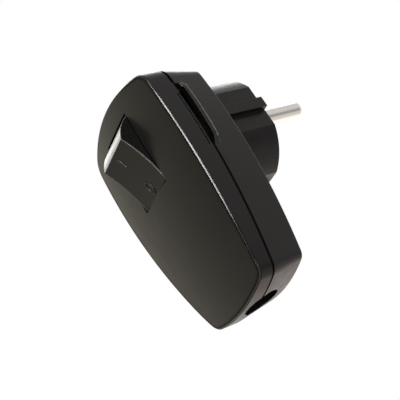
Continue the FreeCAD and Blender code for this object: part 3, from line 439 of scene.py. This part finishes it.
# Metals: dark and light tone, roughness, and the axis along which they were drawn
METALS = {
    "pin_nickel": ((0.84, 0.84, 0.78), (0.94, 0.94, 0.89), 0.22, "Y"),
    "earth_nickel": ((0.62, 0.60, 0.55), (0.74, 0.72, 0.67), 0.3, "Z"),
    "contact_brass": ((0.70, 0.48, 0.20), (0.82, 0.62, 0.30), 0.28, "Z"),
    "screw_zinc": ((0.55, 0.55, 0.54), (0.70, 0.70, 0.68), 0.3, "Y"),
    "spring_steel": ((0.45, 0.45, 0.45), (0.60, 0.60, 0.60), 0.25, "Y"),
}

# CAD nodes that each material dresses
DRESSED = {
    "case_plastic": ("rear_housing", "front_cover"),
    "rocker_plastic": ("rocker",),
    "carrier_plastic": ("switch_carrier", *both("follower")),
    "clamp_plastic": ("cord_clamp",),
    "pin_nickel": both("pin"),
    "earth_nickel": ("earth_bracket", "earth_sleeve"),
    "contact_brass": (*both("contact_bar"), *both("pole_terminal"), *both("load_terminal")),
    "screw_zinc": ("pin_screws", "load_screws", "earth_screw", "clamp_screws", "case_screws"),
    "spring_steel": both("spring"),
}


def make_materials():
    """All materials by name; those of CAD nodes are on them."""
    materials = {name: moulded(name, **values) for name, values in PLASTICS.items()}
    materials.update((name, metal(name, *values)) for name, values in METALS.items())
    for name, nodes in DRESSED.items():
        dress(materials[name], *nodes)
    return materials


def dish_height(along):
    """Height of the rocker's hollow face over its axis."""
    return DISH_EDGE - DISH_DEPTH + DISH_RADIUS - math.sqrt(DISH_RADIUS ** 2 - along ** 2)


def rocker_point(across, along, height):
    """Point in the world, in metres, from the rocker's own frame."""
    turn = Matrix.Rotation(ROCKER_TILT, 3, "X")
    return ROCKER_AXIS + turn @ (Vector((across, -height, along)) * MM)


def new_piece(name, verts, faces, material):
    """Mesh object that turns with the rocker."""
    mesh = bpy.data.meshes.new(name)
    mesh.from_pydata(verts, [], faces)
    mesh.validate()
    mesh.shade_smooth()
    mesh.materials.append(material)
    piece = link_object(name, mesh)
    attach(piece, "rocker")
    return piece


def make_face(material):
    """Thin panel over the rocker's hollow face, a little less deep, which covers the tops of its guides."""
    verts, faces = [], []
    for row in range(FACE_ROWS + 1):
        along = FACE_REACH * (2 * row / FACE_ROWS - 1)
        top = dish_height(along)
        below = top - FACE_DEPTH
        for across, height in ((-FACE_HALF, top), (FACE_HALF, top), (FACE_HALF, below), (-FACE_HALF, below)):
            verts.append(rocker_point(across, along, height))
    for row in range(FACE_ROWS):
        a, b = 4 * row, 4 * row + 4
        for step in range(4):
            c = (step + 1) % 4
            faces.append((a + step, a + c, b + c, b + step))
    faces.append((3, 2, 1, 0))
    faces.append(tuple(range(4 * FACE_ROWS, 4 * FACE_ROWS + 4)))
    new_piece("rocker_face", verts, faces, material).data.set_sharp_from_angle(angle=FACE_SHARP)


def relief_tube(name, path, closed, radius, material):
    """Low rounded rib that follows a path drawn on the rocker's hollow face."""
    count = len(path)
    verts, faces = [], []
    for index, (across, along) in enumerate(path):
        ahead = path[(index + 1) % count] if closed else path[min(index + 1, count - 1)]
        behind = path[index - 1] if closed else path[max(index - 1, 0)]
        heading = Vector((ahead[0] - behind[0], ahead[1] - behind[1])).normalized()
        side = Vector((heading.y, -heading.x))
        for step in range(TUBE_SIDES):
            angle = 2 * math.pi * step / TUBE_SIDES
            out = radius * math.cos(angle)
            up = radius * (math.sin(angle) - TUBE_SINK)
            at = (across + side.x * out, along + side.y * out)
            verts.append(rocker_point(*at, dish_height(at[1]) + up))
    rings = count if closed else count - 1
    for ring in range(rings):
        a, b = ring * TUBE_SIDES, (ring + 1) % count * TUBE_SIDES
        for step in range(TUBE_SIDES):
            c = (step + 1) % TUBE_SIDES
            faces.append((a + step, b + step, b + c, a + c))
    if not closed:
        faces.append(tuple(reversed(range(TUBE_SIDES))))
        faces.append(tuple(range((count - 1) * TUBE_SIDES, count * TUBE_SIDES)))
    new_piece(name, verts, faces, material)


def make_marks(materials):
    """The I and the 0 of the switch."""
    bar = [(0.0, BAR_START - BAR_LENGTH * step / BAR_STEPS) for step in range(BAR_STEPS + 1)]
    oval = []
    for step in range(OVAL_STEPS):
        angle = 2 * math.pi * step / OVAL_STEPS
        oval.append((OVAL_CENTRE[0] + OVAL_HALVES[0] * math.cos(angle),
                     OVAL_CENTRE[1] + OVAL_HALVES[1] * math.sin(angle)))
    relief_tube("mark_on", bar, False, BAR_RADIUS, materials["mark_on_plastic"])
    relief_tube("mark_off", oval, True, OVAL_RADIUS, materials["mark_off_plastic"])


make_camera()
make_world()
make_lamps()
materials = make_materials()
make_face(materials["rocker_plastic"])
make_marks(materials)

bpy.context.scene.view_settings.view_transform = "Standard"
